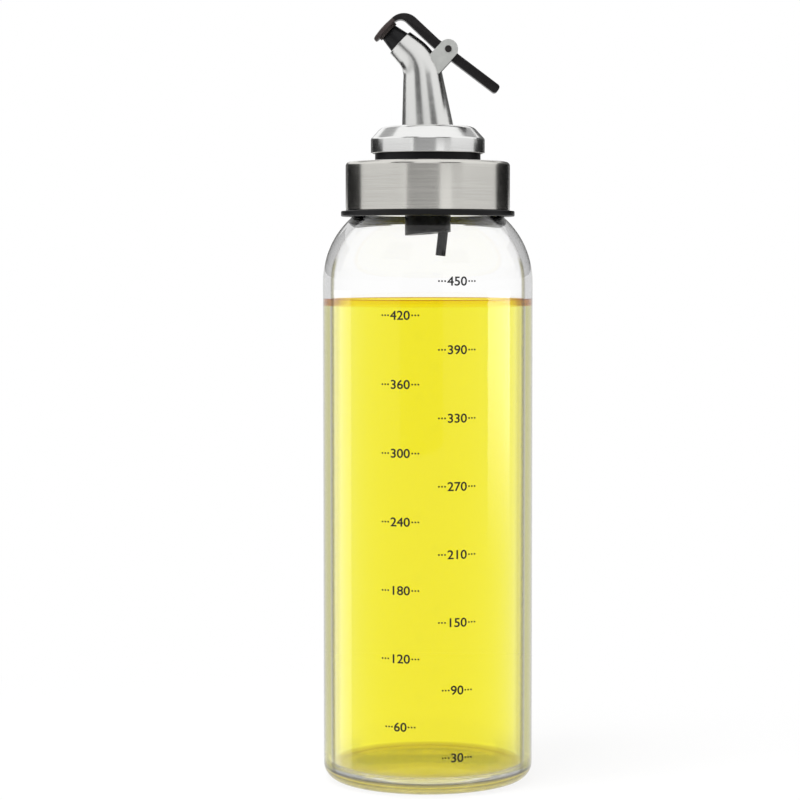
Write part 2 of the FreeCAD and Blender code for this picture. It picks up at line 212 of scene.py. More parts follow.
@dataclass(frozen=True)
class TurnedSteel:
    """Steel brushed round the bottle's axis, with fine rings in its gloss."""

    name: str
    colour: Colour
    roughness: Span
    line_density: float
    relief: float
    line_tint: float
    drawn_out: float
    around: float = 1.4
    cloud_scale: float = 60.0
    cloud_share: float = 0.3
    line_depth: float = 0.00003
    line_turn: float = 0.25

    def material(self) -> Material:
        """Build the steel's material."""
        c = Canvas(self.name)
        place, x, y, height, radius = c.spot()
        turn = c.product(c.math("ARCTAN2", y, x), self.around)
        up, out = (c.product(v, self.line_density) for v in (height, radius))
        grain = c.add("CombineXYZ", {0: turn, 1: up, 2: out}).outputs[0]
        lines = c.noise(grain, scale=1.0, detail=3.0)
        cloud = c.product(c.noise(place, self.cloud_scale), self.cloud_share)
        spread = c.math("ADD", c.product(lines, 1.0 - self.cloud_share), cloud)
        tint = c.add("MixRGB", {0: self.line_tint, 1: (*self.colour, 1.0), 2: lines}, blend_type="MULTIPLY")
        look = {
            "Metallic": 1.0,
            "Base Color": tint.outputs[0],
            "Anisotropic": self.drawn_out,
            "Anisotropic Rotation": self.line_turn,
            "Roughness": c.remap(spread, *self.roughness),
            "Normal": c.bump(lines, self.relief, self.line_depth),
        }
        return c.surface(c.add("BsdfPrincipled", look))


@dataclass(frozen=True)
class MouldedFinish:
    """Moulded or tumbled finish with a fine pebble in its gloss."""

    name: str
    colour: Colour
    roughness: float
    pebble_scale: float
    relief: float
    specular: float = 0.5
    metallic: float = 0.0
    drift_scale: float = 110.0
    shade_spread: Span = (0.8, 1.25)
    gloss_spread: Span = (-0.06, 0.08)
    pebble_depth: float = 0.00005

    def material(self) -> Material:
        """Build the finish's material."""
        c = Canvas(self.name)
        place = c.add("TexCoord").outputs["Object"]
        pebble = c.noise(place, self.pebble_scale, detail=4.0)
        dark, light = (tuple(min(1.0, v * s) for v in self.colour) for s in self.shade_spread)
        look = {
            "Metallic": self.metallic,
            "Base Color": c.between(c.noise(place, self.drift_scale), dark, light),
            "Specular IOR Level": self.specular,
            "Roughness": c.remap(pebble, *(self.roughness + s for s in self.gloss_spread)),
            "Normal": c.bump(pebble, self.relief, self.pebble_depth),
        }
        return c.surface(c.add("BsdfPrincipled", look))


class Polymer(Enum):
    """The plastics and rubbers that several pieces share."""

    BLACK = MouldedFinish("black_polypropylene", (0.007, 0.007, 0.0075), 0.34, 1500.0, 0.1, 0.16)
    RUBBER = MouldedFinish("seal_rubber", (0.02, 0.02, 0.02), 0.6, 900.0, 0.2, 0.15)
    LEVER = MouldedFinish("lever_black", (0.008, 0.0072, 0.0076), 0.3, 1200.0, 0.08, 0.2)
    LID = MouldedFinish("lid_brown_black", (0.03, 0.022, 0.021), 0.42, 1200.0, 0.1, 0.25)
    PAD = MouldedFinish("pad_brown_rubber", (0.05, 0.04, 0.036), 0.55, 800.0, 0.2, 0.2)


Polymers = dict[Polymer, Material]


@dataclass(frozen=True)
class ClearGlass:
    """Colourless glass with painted shade: dark lines at its grazing edges and inside its wall, olive shade
    on the wall below the oil level and on its base, for the oil and the shadowed floor seen through it.

    Heights and radii are in metres. A span gives the values where a tint starts and where it is full.
    """

    name: str = "clear_glass"
    ior: float = 1.5
    gloss: float = 0.6
    wave_scale: float = 22.0
    wave_relief: float = 0.03
    wave_depth: float = 0.0004
    # Painted olive shade for the wall band below the oil level, standing in for the oil seen through the
    # wall.
    wet_wall: Colour = (0.64, 0.60, 0.075)
    wet_height: Span = (0.1495, 0.1485)
    wet_facing: Span = (0.56, 0.66)
    # Painted dark line just inside the wall, where the inner wall's edge shows.
    inner_line: Colour = (0.36, 0.34, 0.2)
    line_start: Span = (0.53, 0.57)
    line_end: Span = (0.64, 0.60)
    line_radius: Span = (0.031, 0.032)
    # Painted dark shade along the grazing edges.
    edge: Colour = (0.2, 0.19, 0.16)
    edge_facing: Span = (0.76, 0.95)
    # Painted olive-dark shade on the glass floor and heel, standing in for the shadowed floor seen through
    # the oil.
    wet_base: Colour = (0.52, 0.41, 0.08)
    floor_height: Span = (0.0056, 0.0046)
    floor_radius: Span = (0.030, 0.0275)
    heel_height: Span = (0.0049, 0.0035)
    thin_height: Span = (0.010, 0.005)
    thin_share: float = 0.2

    def material(self) -> Material:
        """Build the glass's material."""
        c = Canvas(self.name)
        place, _, _, height, radius = c.spot()
        facing = c.facing()
        # Painted olive shade on the wall band below the oil level.
        wet = c.product(c.ease(height, *self.wet_height), c.ease(facing, *self.wet_facing))
        # Painted dark line just inside the wall.
        line = c.product(c.ease(facing, *self.line_start), c.ease(facing, *self.line_end))
        line = c.product(line, c.ease(radius, *self.line_radius))
        # Painted olive-dark shade on the glass floor and heel.
        floor = c.product(c.ease(height, *self.floor_height), c.ease(radius, *self.floor_radius))
        base = c.math("MAXIMUM", floor, c.ease(height, *self.heel_height))
        colour = c.tinted(wet, WHITE, self.wet_wall)
        colour = c.tinted(line, colour, self.inner_line)
        # Painted dark shade along the grazing edges.
        colour = c.tinted(c.ease(facing, *self.edge_facing), colour, self.edge)
        thin = c.product(c.ease(height, *self.thin_height), self.thin_share)
        waves = c.noise(place, self.wave_scale, detail=1.0)
        look = {
            "Base Color": c.tinted(base, colour, self.wet_base),
            "Normal": c.bump(waves, self.wave_relief, self.wave_depth),
            "Roughness": 0.0,
            "IOR": self.ior,
            "Specular Tint": (self.gloss, self.gloss, self.gloss, 1.0),
            "Alpha": c.math("SUBTRACT", 1.0, thin),
            "Transmission Weight": 1.0,
        }
        return c.surface(c.add("BsdfPrincipled", look))


@dataclass(frozen=True)
class CookingOil:
    """Clear yellow oil that deepens with the length of the light's way through it, with a painted amber shade
    along its rim and a browner painted shade at the rim's ends.

    It does not bend light, as the photograph shows none bent. Spans are as in the glass.
    """

    name: str = "cooking_oil"
    ior: float = 1.0
    keeps: Colour = (0.979, 0.957, 0.004)
    density: float = 80.0
    gloss: Colour = (0.6, 0.36, 0.03)
    # Painted amber shade along the oil's surface ring.
    rim: Colour = (0.94, 0.79, 0.05)
    rim_height: Span = (0.1469, 0.1476)
    rim_radius: Span = (0.0275, 0.0295)
    # Painted browner shade at the surface ring's ends.
    rim_edge: Colour = (0.45, 0.18, 0.012)
    side_radius: Span = (0.0297, 0.0300)
    side_facing: Span = (0.12, 0.27)

    def material(self) -> Material:
        """Build the oil's material."""
        c = Canvas(self.name)
        _, _, _, height, radius = c.spot()
        # Painted amber shade along the surface ring.
        rim = c.product(c.ease(height, *self.rim_height), c.ease(radius, *self.rim_radius))
        # Mask for the painted browner shade at the ring's ends.
        side = c.product(c.ease(radius, *self.side_radius), c.ease(c.facing(), *self.side_facing))
        colour = c.tinted(rim, WHITE, self.rim)
        look = {
            "Base Color": c.tinted(c.product(rim, side), colour, self.rim_edge),
            "Roughness": 0.0,
            "IOR": self.ior,
            "Transmission Weight": 1.0,
            "Specular Tint": (*self.gloss, 1.0),
        }
        depth = c.add("VolumeAbsorption", {"Color": (*self.keeps, 1.0), "Density": self.density})
        c.tree.links.new(depth.outputs[0], c.output.inputs["Volume"])
        return c.surface(c.add("BsdfPrincipled", look))


@dataclass(frozen=True)
class ScreenInk:
    """Fired black ink of the printed scale, a little worn."""

    name: str = "scale_ink"
    colour: Colour = (0.012, 0.012, 0.013)
    wear_scale: float = 2600.0
    fading: float = 2.0
    roughness: float = 0.5
    specular: float = 0.12

    def material(self) -> Material:
        """Build the ink's material."""
        c = Canvas(self.name)
        wear = c.noise(c.add("TexCoord").outputs["Object"], self.wear_scale)
        worn = tuple(v * self.fading for v in self.colour)
        look = {
            "Base Color": c.between(wear, self.colour, worn),
            "Roughness": self.roughness,
            "Specular IOR Level": self.specular,
        }
        return c.surface(c.add("BsdfPrincipled", look))


def stage_light(canvas: Canvas) -> tuple[NodeSocket, NodeSocket]:
    """How the stage shows itself: full, but dimmed for light led along inside a glass wall.

    Args:
        canvas: The node tree to add to.

    Returns:
        Whether eye, metal or glass look at the stage, and its strength.
    """
    ray = canvas.add("LightPath").outputs
    seen = canvas.math("MAXIMUM", ray["Is Camera Ray"], ray["Is Glossy Ray"])
    seen = canvas.math("MAXIMUM", seen, ray["Is Transmission Ray"])
    few = canvas.math("LESS_THAN", ray["Transmission Depth"], FEW_CROSSINGS)
    led = canvas.product(few, ray["Is Transmission Ray"], WALL_DIMMING)
    return seen, canvas.math("SUBTRACT", 1.0, led)


@dataclass(frozen=True)
class StudioPaper:
    """White stage paper: lit like paper for lamps, and bright where eye, metal or glass look at it."""

    name: str = "floor_paper"
    glow: float = 0.88
    near: float = 0.02
    reach: float = 0.25

    def material(self) -> Material:
        """Build the paper's material."""
        c = Canvas(self.name)
        seen, strength = stage_light(c)
        away = c.spot()[4]
        fade = {"Value": away, "From Min": self.near, "From Max": self.reach, "To Min": self.glow}
        share = c.add("MapRange", fade, interpolation_type="SMOOTHSTEP").outputs[0]
        lit = c.add("BsdfDiffuse", {"Color": WHITE})
        glow = c.add("Emission", {"Color": WHITE, "Strength": strength})
        return c.surface(c.mixed(c.product(seen, share), lit, glow))


class Outline:
    """A half-section in millimetres, drawn with lines and arcs and turned round the bottle's axis."""

    def __init__(self, radius: float, height: float) -> None:
        """Put the pen down at a radius and height."""
        self.points: list[Span] = [(radius, height)]

    def line(self, radius: float, height: float) -> "Outline":
        """Draw a straight line to a point."""
        self.points.append((radius, height))
        return self

    def arc(self, radius: float, height: float, centre: Span, steps: int = 12) -> "Outline":
        """Draw the short arc about a centre to a point.

        Args:
            radius: End point's distance from the axis.
            height: End point's height.
            centre: Arc's centre as radius and height.
            steps: Number of straight pieces.

        Returns:
            The outline, so that calls chain.
        """
        r0, z0 = self.points[-1]
        size = math.hypot(radius - centre[0], height - centre[1])
        start = math.atan2(z0 - centre[1], r0 - centre[0])
        sweep = math.atan2(height - centre[1], radius - centre[0]) - start
        sweep = (sweep + math.pi) % (2 * math.pi) - math.pi
        for i in range(1, steps + 1):
            angle = start + sweep * i / steps
            self.points.append((centre[0] + size * math.cos(angle), centre[1] + size * math.sin(angle)))
        return self

    def turned(self, name: str, segments: int = 160) -> Object:
        """Turn the closed outline into a mesh object with a number of steps round the axis."""
        around = [(math.cos(a), math.sin(a)) for a in turn_angles(segments)]
        return ring_mesh(name, [[Vector((r * x, r * y, z)) for x, y in around] for r, z in self.points])


def turn_angles(segments: int) -> list[float]:
    """Even angles once round, in radians."""
    return [2 * math.pi * i / segments for i in range(segments)]


def linked(name: str, data: bpy.types.ID) -> Object:
    """Make an object of a mesh, curve, lamp or camera, and link it to the scene."""
    made = bpy.data.objects.new(name, data)
    bpy.context.scene.collection.objects.link(made)
    return made


def link_mesh(name: str, bm: bmesh.types.BMesh, sharp_degrees: float = 32.0) -> Object:
    """Turn a bmesh in millimetres into a smooth-shaded object in metres.

    Args:
        name: The object's name.
        bm: The mesh, freed here.
        sharp_degrees: Edges that bend more than this stay crisp.

    Returns:
        The linked object.
    """
    bmesh.ops.remove_doubles(bm, verts=bm.verts, dist=1e-5)
    bmesh.ops.dissolve_degenerate(bm, edges=bm.edges, dist=1e-6)
    bmesh.ops.recalc_face_normals(bm, faces=bm.faces)
    bmesh.ops.scale(bm, vec=(MM, MM, MM), verts=bm.verts)
    mesh = bpy.data.meshes.new(name)
    bm.to_mesh(mesh)
    bm.free()
    mesh.shade_smooth()
    mesh.set_sharp_from_angle(angle=math.radians(sharp_degrees))
    return linked(name, mesh)


def ring_mesh(name: str, rings: list[list[Vector]]) -> Object:
    """Join closed rings of points, last to first, into one closed skin.

    Args:
        name: The object's name.
        rings: Rings in millimetres, each with the same number of points.

    Returns:
        The linked object.
    """
    bm = bmesh.new()
    made = [[bm.verts.new(p) for p in ring] for ring in rings]
    count = len(rings[0])
    for k, ring in enumerate(made):
        other = made[(k + 1) % len(made)]
        for i in range(count):
            j = (i + 1) % count
            bm.faces.new((ring[i], ring[j], other[j], other[i]))
    return link_mesh(name, bm)


def dress(piece: Object, material: Material) -> None:
    """Give a piece one material."""
    piece.data.materials.clear()
    piece.data.materials.append(material)


def dress_nodes(material: Material, *nodes: str) -> None:
    """Give CAD nodes that show as they are one material."""
    for node in nodes:
        dress(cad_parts[node], material)


def place(piece: Object, material: Material | None, body: Body, slot: str | None, *nodes: str) -> None:
    """Dress a piece, let it ride on a body and let it stand for CAD nodes.

    Args:
        piece: The finished piece.
        material: Its material, if it has none yet.
        body: The body it moves with.
        slot: The record's material slot, if it has one. Not used.
        nodes: CAD nodes that the piece replaces.
    """
    if material:
        dress(piece, material)
    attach(piece, body.value)
    if nodes:
        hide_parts(*nodes)
    log.info("%s rides on %s, %d faces", piece.name, body.value, len(piece.data.polygons))


def plain_mesh(piece: Object) -> Mesh:
    """A plain copy of what an object shows, with its modifiers or curves worked out."""
    graph = bpy.context.evaluated_depsgraph_get()
    return bpy.data.meshes.new_from_object(piece.evaluated_get(graph), depsgraph=graph)


class Growth(NodeBoard):
    """A Geometry Nodes tree with named inputs."""

    prefix = "GeometryNode"

    def __init__(self, name: str, inputs: dict[str, str]) -> None:
        """Start a tree that also takes a material.

        Args:
            name: The tree's name.
            inputs: Input name to socket type after "NodeSocket".
        """
        self.tree = bpy.data.node_groups.new(name, "GeometryNodeTree")
        self.tree.interface.new_socket("Geometry", in_out="OUTPUT", socket_type="NodeSocketGeometry")
        for key, kind in {**inputs, "Material": "Material"}.items():
            self.tree.interface.new_socket(key, in_out="INPUT", socket_type="NodeSocket" + kind)
        self.given = self.tree.nodes.new("NodeGroupInput").outputs
        self.result = self.tree.nodes.new("NodeGroupOutput").inputs[0]

    def vector(self, axis: int, value: object) -> NodeSocket:
        """A vector along one axis."""
        return self.add("CombineXYZ", {axis: value}).outputs[0]

    def close(self, geometry: NodeSocket) -> None:
        """Realize what has grown, set its material and finish the tree."""
        real = self.add("RealizeInstances", {0: geometry}).outputs[0]
        inked = self.add("SetMaterial", {"Geometry": real, "Material": self.given["Material"]})
        self.tree.links.new(inked.outputs[0], self.result)

    def grown(self, name: str, values: dict[str, object]) -> Object:
        """Run the tree and keep its result as a plain mesh.

        Args:
            name: The object's name.
            values: Named inputs of the tree.

        Returns:
            An object with a plain mesh and no modifier.
        """
        piece = linked(name, bpy.data.meshes.new(name + "_seed"))
        modifier = piece.modifiers.new("grow", "NODES")
        modifier.node_group = self.tree
        for item in self.tree.interface.items_tree:
            if item.item_type == "SOCKET" and item.in_out == "INPUT" and item.name in values:
                modifier[item.identifier] = values[item.name]
        mesh = plain_mesh(piece)
        piece.modifiers.clear()
        piece.data = mesh
        mesh.name = name
        return piece


@dataclass
class GlassBottle:
    """The blown bottle with its neck thread, printed scale and oil, sizes in millimetres."""

    radius: float = 32.5
    wall: float = 2.6
    wall_height: float = 154.5
    shoulder: float = 27.0
    neck_radius: float = 21.8
    neck_root: float = 2.5
    neck_height: float = 10.8
    rim_round: float = 0.9
    heel: float = 5.0
    floor: float = 4.6
    punt_radius: float = 21.0
    punt_depth: float = 1.6
    thread_pitch: float = 4.0
    thread_turns: float = 1.6
    thread_size: float = 0.95
    thread_below_rim: float = 2.2
    thread_tip: float = 0.05
    thread_swell: float = 9.0
    thread_steps: tuple[int, int] = (72, 14)
    oil_height: float = 148.9
    oil_gap: float = 0.15
    oil_bite: float = 0.25
    oil_heel_steps: int = 14
    meniscus: float = 0.6
    meniscus_reach: float = 1.8
    meniscus_power: float = 2.2
    meniscus_steps: int = 10
    wet_ring: float = 1.6
    digit_height: float = 2.65
    digit_share: float = 0.7
    digit_stretch: float = 1.09
    digit_weight: float = 0.065
    digit_room: float = 1.15
    dash_width: float = 0.5
    dash_height: float = 0.5
    dash_pitch: float = 0.92
    dash_start: float = 2.6
    dash_count: int = 3
    ink_lift: float = 0.05

    def __post_init__(self) -> None:
        """Work out the inner radius and the shoulder's and the neck root's places, and mix the finishes."""
        self.inner = self.radius - self.wall
        self.bend = self.heel - self.wall
        self.shoulder_x = self.radius - self.shoulder
        self.root_x = self.neck_radius + self.neck_root
        run = self.root_x - self.shoulder_x
        self.root_z = self.wall_height + math.sqrt((self.shoulder + self.neck_root) ** 2 - run**2)
        self.rim_z = self.root_z + self.neck_height
        self.bore = self.neck_radius - self.wall
        self.ink_radius = self.radius + self.ink_lift
        self.glass = ClearGlass().material()
        self.ink = ScreenInk().material()

    def shoulder_end(self, size: float) -> Span:
        """Where a shoulder arc of a size meets the neck root's arc."""
        to_root = Vector((self.root_x - self.shoulder_x, self.root_z - self.wall_height)).normalized() * size
        return self.shoulder_x + to_root.x, self.wall_height + to_root.y

    def build_glass(self) -> Object:
        """Turn the bottle's wall."""
        inner, bend, heel_x = self.inner, self.bend, self.radius - self.heel
        sphere = (self.punt_radius**2 + self.punt_depth**2) / (2 * self.punt_depth)
        shoulder_at = (self.shoulder_x, self.wall_height)
        root_at = (self.root_x, self.root_z)
        r, rim = self.rim_round, self.rim_z
        o = Outline(0.0, self.punt_depth).arc(self.punt_radius, 0.0, (0.0, self.punt_depth - sphere), 10)
        o.line(heel_x, 0.0).arc(self.radius, self.heel, (heel_x, self.heel), 16)
        o.line(self.radius, self.wall_height).arc(*self.shoulder_end(self.shoulder), shoulder_at, 28)
        o.arc(self.neck_radius, self.root_z, root_at, 10).line(self.neck_radius, rim - r)
        o.arc(self.neck_radius - r, rim, (self.neck_radius - r, rim - r), 8).line(self.bore + r, rim)
        o.arc(self.bore, rim - r, (self.bore + r, rim - r), 8).line(self.bore, self.root_z)
        o.arc(*self.shoulder_end(self.shoulder - self.wall), root_at, 12)
        o.arc(inner, self.wall_height, shoulder_at, 28).line(inner, self.floor + bend)
        o.arc(inner - bend, self.floor, (inner - bend, self.floor + bend), 14).line(0.0, self.floor)
        return o.turned("bottle_glass", 192)

    def build_oil(self) -> Object:
        """Turn the oil: its side a hair clear of the wall, its foot and top ring just inside the glass."""
        side, low = self.inner - self.oil_gap, self.floor - self.oil_bite
        middle, level = self.inner - self.bend, self.floor + self.bend
        o = Outline(0.0, low).line(middle, low)
        for i in range(1, self.oil_heel_steps + 1):
            a = math.pi / 2 * (i / self.oil_heel_steps - 1)
            o.line(middle + (side - middle) * math.cos(a), level + (level - low) * math.sin(a))
        top, wet = self.oil_height, self.inner + self.oil_bite
        reach = self.meniscus * self.meniscus_reach
        o.line(side, top - self.wet_ring).line(wet, top - self.wet_ring).line(wet, top + self.meniscus)
        for i in range(1, self.meniscus_steps + 1):
            share = i / self.meniscus_steps
            o.line(wet - reach * share, top + self.meniscus * (1 - share) ** self.meniscus_power)
        return o.line(0.0, top).turned("oil_fill", 192)

    def build_thread(self) -> Object:
        """Grow the neck's thread, a helical bead that fades out at both ends."""
        along_steps, round_steps = self.thread_steps
        g = Growth("neck_thread_tree", dict.fromkeys(("Turns", "Radius", "Height", "Start", "Bead"), "Float"))
        way = dict.fromkeys(("Start Radius", "End Radius"), g.given["Radius"])
        way |= {"Height": g.given["Height"], "Rotations": g.given["Turns"]}
        spiral = g.add("CurveSpiral", {"Resolution": along_steps, **way})
        along = g.add("SplineParameter").outputs["Factor"]
        near_end = g.math("MINIMUM", along, g.math("SUBTRACT", 1.0, along))
        swell = g.math("ADD", self.thread_tip, g.product(near_end, self.thread_swell))
        sized = g.add("SetCurveRadius", {"Curve": spiral.outputs[0], "Radius": g.math("MINIMUM", 1.0, swell)})
        ring = g.add("CurvePrimitiveCircle", {"Resolution": round_steps, "Radius": g.given["Bead"]})
        curves = {"Curve": sized.outputs[0], "Profile Curve": ring.outputs[0]}
        bead = g.add("CurveToMesh", {**curves, "Scale": g.add("InputRadius").outputs[0], "Fill Caps": True})
        lift = g.vector(2, g.given["Start"])
        g.close(g.add("Transform", {"Geometry": bead.outputs[0], "Translation": lift}).outputs[0])
        height = self.thread_pitch * self.thread_turns
        values = {
            "Turns": self.thread_turns,
            "Radius": self.neck_radius * MM,
            "Height": height * MM,
            "Start": (self.rim_z - self.thread_below_rim - height) * MM,
            "Bead": self.thread_size * MM,
            "Material": self.glass,
        }
        return g.grown("neck_thread", values)

    def wrap(self, x: float, z: float, column: Column) -> Vector:
        """Lay a flat point of a label on the glass, in millimetres."""
        angle = column.angle + x / self.ink_radius
        return Vector((self.ink_radius * math.sin(angle), -self.ink_radius * math.cos(angle), z))

    def embolden(self, flat: Mesh) -> None:
        """Push a flat glyph's outline outwards by the digits' weight.

        Args:
            flat: The filled glyphs, lying in the x-y plane.
        """
        bm = bmesh.new()
        bm.from_mesh(flat)
        pushes: dict[bmesh.types.BMVert, Vector] = {}
        for edge in bm.edges:
            if not edge.is_boundary:
                continue
            start, end = edge.verts
            along = end.co - start.co
            out = Vector((along.y, -along.x, 0.0)).normalized()
            if out.dot(edge.link_faces[0].calc_center_median() - start.co) > 0:
                out.negate()
            for v in edge.verts:
                pushes[v] = pushes.get(v, Vector()) + out
        for v, push in pushes.items():
            v.co += push * (2 * self.digit_weight / max(push.length_squared, 1.0))
        bm.to_mesh(flat)
        bm.free()

    def set_number(self, volume: int) -> Mesh:
        """Set one number flat in the x-y plane, in millimetres.

        Args:
            volume: The number to print.

        Returns:
            Its filled outline.
        """
        curve = bpy.data.curves.new("digits", "FONT")
        curve.body = str(volume)
        curve.align_x = "CENTER"
        curve.size = self.digit_height / self.digit_share
        text = linked("digits", curve)
        bpy.context.view_layer.update()
        flat = plain_mesh(text)
        bpy.data.objects.remove(text)
        bpy.data.curves.remove(curve)
        self.embolden(flat)
        return flat

    def build_numbers(self) -> Object:
        """Set the volume numbers and bend them onto the glass."""
        bm = bmesh.new()
        for column in Column:
            for volume, height in column.marks():
                flat = self.set_number(volume)
                low = min(v.co.y for v in flat.vertices)
                tall = max(v.co.y for v in flat.vertices) - low
                for v in flat.vertices:
                    v.co = self.wrap(v.co.x * self.digit_stretch, height + v.co.y - low - tall / 2, column)
                bm.from_mesh(flat)
                bpy.data.meshes.remove(flat)
        bmesh.ops.triangulate(bm, faces=bm.faces)
        for face in bm.faces:
            face.normal_update()
            middle = face.calc_center_median()
            if face.normal.x * middle.x + face.normal.y * middle.y < 0:
                face.normal_flip()
        bmesh.ops.scale(bm, vec=(MM, MM, MM), verts=bm.verts)
        mesh = bpy.data.meshes.new("scale_numbers")
        bm.to_mesh(mesh)
        bm.free()
        return linked("scale_numbers", mesh)

    def dash_tree(self) -> Growth:
        """Build the tree that repeats a row of dashes up a column and bends it onto the glass."""
        sizes = ("First", "Step", "Angle", "Radius", "Dash Width", "Dash Height", "Pitch", "Gap")
        g = Growth("dash_tree", {"Count": "Int", **dict.fromkeys(sizes, "Float")})
        size = {"Size X": g.given["Dash Width"], "Size Y": g.given["Dash Height"]}
        tile = g.add("MeshGrid", {**size, "Vertices X": 3, "Vertices Y": 2})
        upright = Euler((math.pi / 2, 0.0, 0.0))
        dash = g.add("Transform", {"Geometry": tile.outputs[0], "Rotation": upright})
        sides = g.add("JoinGeometry")
        for sign in (-1.0, 1.0):
            start, offset = (g.vector(0, g.product(g.given[key], sign)) for key in ("Gap", "Pitch"))
            side = g.add("MeshLine", {"Count": self.dash_count, "Start Location": start, "Offset": offset})
            g.tree.links.new(side.outputs[0], sides.inputs[0])
        row = g.add("InstanceOnPoints", {"Points": sides.outputs[0], "Instance": dash.outputs[0]})
        foot, climb = (g.vector(2, g.given[key]) for key in ("First", "Step"))
        levels = g.add("MeshLine", {"Count": g.given["Count"], "Start Location": foot, "Offset": climb})
        column = g.add("InstanceOnPoints", {"Points": levels.outputs[0], "Instance": row.outputs[0]})
        flat = g.add("RealizeInstances", {0: column.outputs[0]})
        x, _, z = g.add("SeparateXYZ", {0: g.add("InputPosition").outputs[0]}).outputs
        turn = g.math("ADD", g.given["Angle"], g.math("DIVIDE", x, g.given["Radius"]))
        across = g.product(g.math("SINE", turn), g.given["Radius"])
        back = g.product(g.math("COSINE", turn), g.given["Radius"], -1.0)
        bent = g.add("CombineXYZ", {0: across, 1: back, 2: z})
        g.close(g.add("SetPosition", {"Geometry": flat.outputs[0], "Position": bent.outputs[0]}).outputs[0])
        return g

    def build_dashes(self) -> list[Object]:
        """Grow the dashes beside the numbers, one piece for each run of labels of equal width."""
        tree = self.dash_tree()
        pieces = []
        for column in Column:
            for digits in (2, 3):
                heights = [height for volume, height in column.marks() if len(str(volume)) == digits]
                values = {
                    "Count": len(heights),
                    "First": heights[0] * MM,
                    "Step": column.step() * MM,
                    "Angle": column.angle,
                    "Radius": self.ink_radius * MM,
                    "Dash Width": self.dash_width * MM,
                    "Dash Height": self.dash_height * MM,
                    "Pitch": self.dash_pitch * MM,
                    "Gap": (self.dash_start + self.digit_room * (digits - 2)) * MM,
                    "Material": self.ink,
                }
                pieces.append(tree.grown(f"scale_dashes_{column.name.lower()}_{digits}", values))
        return pieces

    def build(self) -> None:
        """Build, dress and place everything that belongs to the bottle."""
        place(self.build_glass(), self.glass, Body.BOTTLE, "glass", "glass_bottle")
        place(self.build_thread(), None, Body.BOTTLE, "glass")
        place(self.build_oil(), CookingOil().material(), Body.BOTTLE, None)
        place(self.build_numbers(), self.ink, Body.BOTTLE, None)
        for dashes in self.build_dashes():
            place(dashes, None, Body.BOTTLE, None)


@dataclass
class ScrewCap:
    """Steel shell over a black liner, with the gasket inside, sizes in millimetres."""

    polymers: Polymers
    rim_z: float
    lip_z: float
    liner_in: float = 23.8
    liner_wall: float = 1.05
    liner_ceiling: float = 1.6
    gasket: float = 1.5
    fit: float = 0.05
    sheet: float = 0.5
    edge: float = 1.3
    edge_dip: float = 0.001
    lip_overhang: float = 1.45
    lip: float = 1.7
    lip_round: float = 0.35
    socket: float = 8.0
    socket_wall: float = 1.6
    socket_depth: float = 11.0
    hole_clearance: float = 0.3

    def __post_init__(self) -> None:
        """Stack the cap's heights on the rim."""
        self.ceiling_z = self.rim_z + self.gasket
        self.under_z = self.ceiling_z + self.liner_ceiling
        self.top_z = self.under_z + self.sheet
        self.shell_z = self.lip_z + self.lip
        self.liner_out = self.liner_in + self.liner_wall
        self.shell_in = self.liner_out + self.fit
        self.shell_out = self.shell_in + self.sheet
        self.lip_r = self.shell_out + self.lip_overhang

    def build_shell(self) -> Object:
        """Turn the drawn steel cup."""
        e, i = self.edge, self.edge - self.sheet
        top, hole = self.top_z, self.socket + self.hole_clearance
        roll = self.sheet / 2
        low = self.shell_z + roll
        o = Outline(self.shell_in, low)
        o.arc(self.shell_out, low, (self.shell_in + roll, low - self.edge_dip), 6)
        o.line(self.shell_out, top - e).arc(self.shell_out - e, top, (self.shell_out - e, top - e), 10)
        o.line(hole, top).line(hole, self.under_z).line(self.shell_in - i, self.under_z)
        o.arc(self.shell_in, top - e, (self.shell_in - i, top - e), 8)
        return o.turned("cap_steel", 192)

    def build_liner(self) -> Object:
        """Turn the liner with its round-edged lip and the stopper's socket."""
        low, high, r = self.lip_z, self.shell_z, self.lip_round
        outer, corner = self.lip_r, self.edge
        socket_out = self.socket + self.socket_wall
        socket_z = self.ceiling_z - self.socket_depth
        o = Outline(self.liner_in, low).line(outer - r, low).arc(outer, low + r, (outer - r, low + r), 6)
        o.line(outer, high - r).arc(outer - r, high, (outer - r, high - r), 6).line(self.liner_out, high)
        o.line(self.liner_out, self.under_z - corner)
        o.arc(self.liner_out - corner, self.under_z, (self.liner_out - corner, self.under_z - corner), 8)
        o.line(self.socket, self.under_z).line(self.socket, socket_z).line(socket_out, socket_z)
        o.line(socket_out, self.ceiling_z).line(self.liner_in, self.ceiling_z)
        return o.turned("cap_black_liner", 192)

    def build(self) -> None:
        """Build, dress and place the cap."""
        steel = TurnedSteel("cap_brushed_steel", (0.79, 0.775, 0.73), (0.16, 0.27), 9000.0, 0.08, 0.22, 0.6)
        place(self.build_shell(), steel.material(), Body.CAP, "brushed_steel", "cap_shell")
        place(self.build_liner(), self.polymers[Polymer.BLACK], Body.CAP, "black_plastic", "cap_liner")
        dress_nodes(self.polymers[Polymer.RUBBER], "cap_gasket")


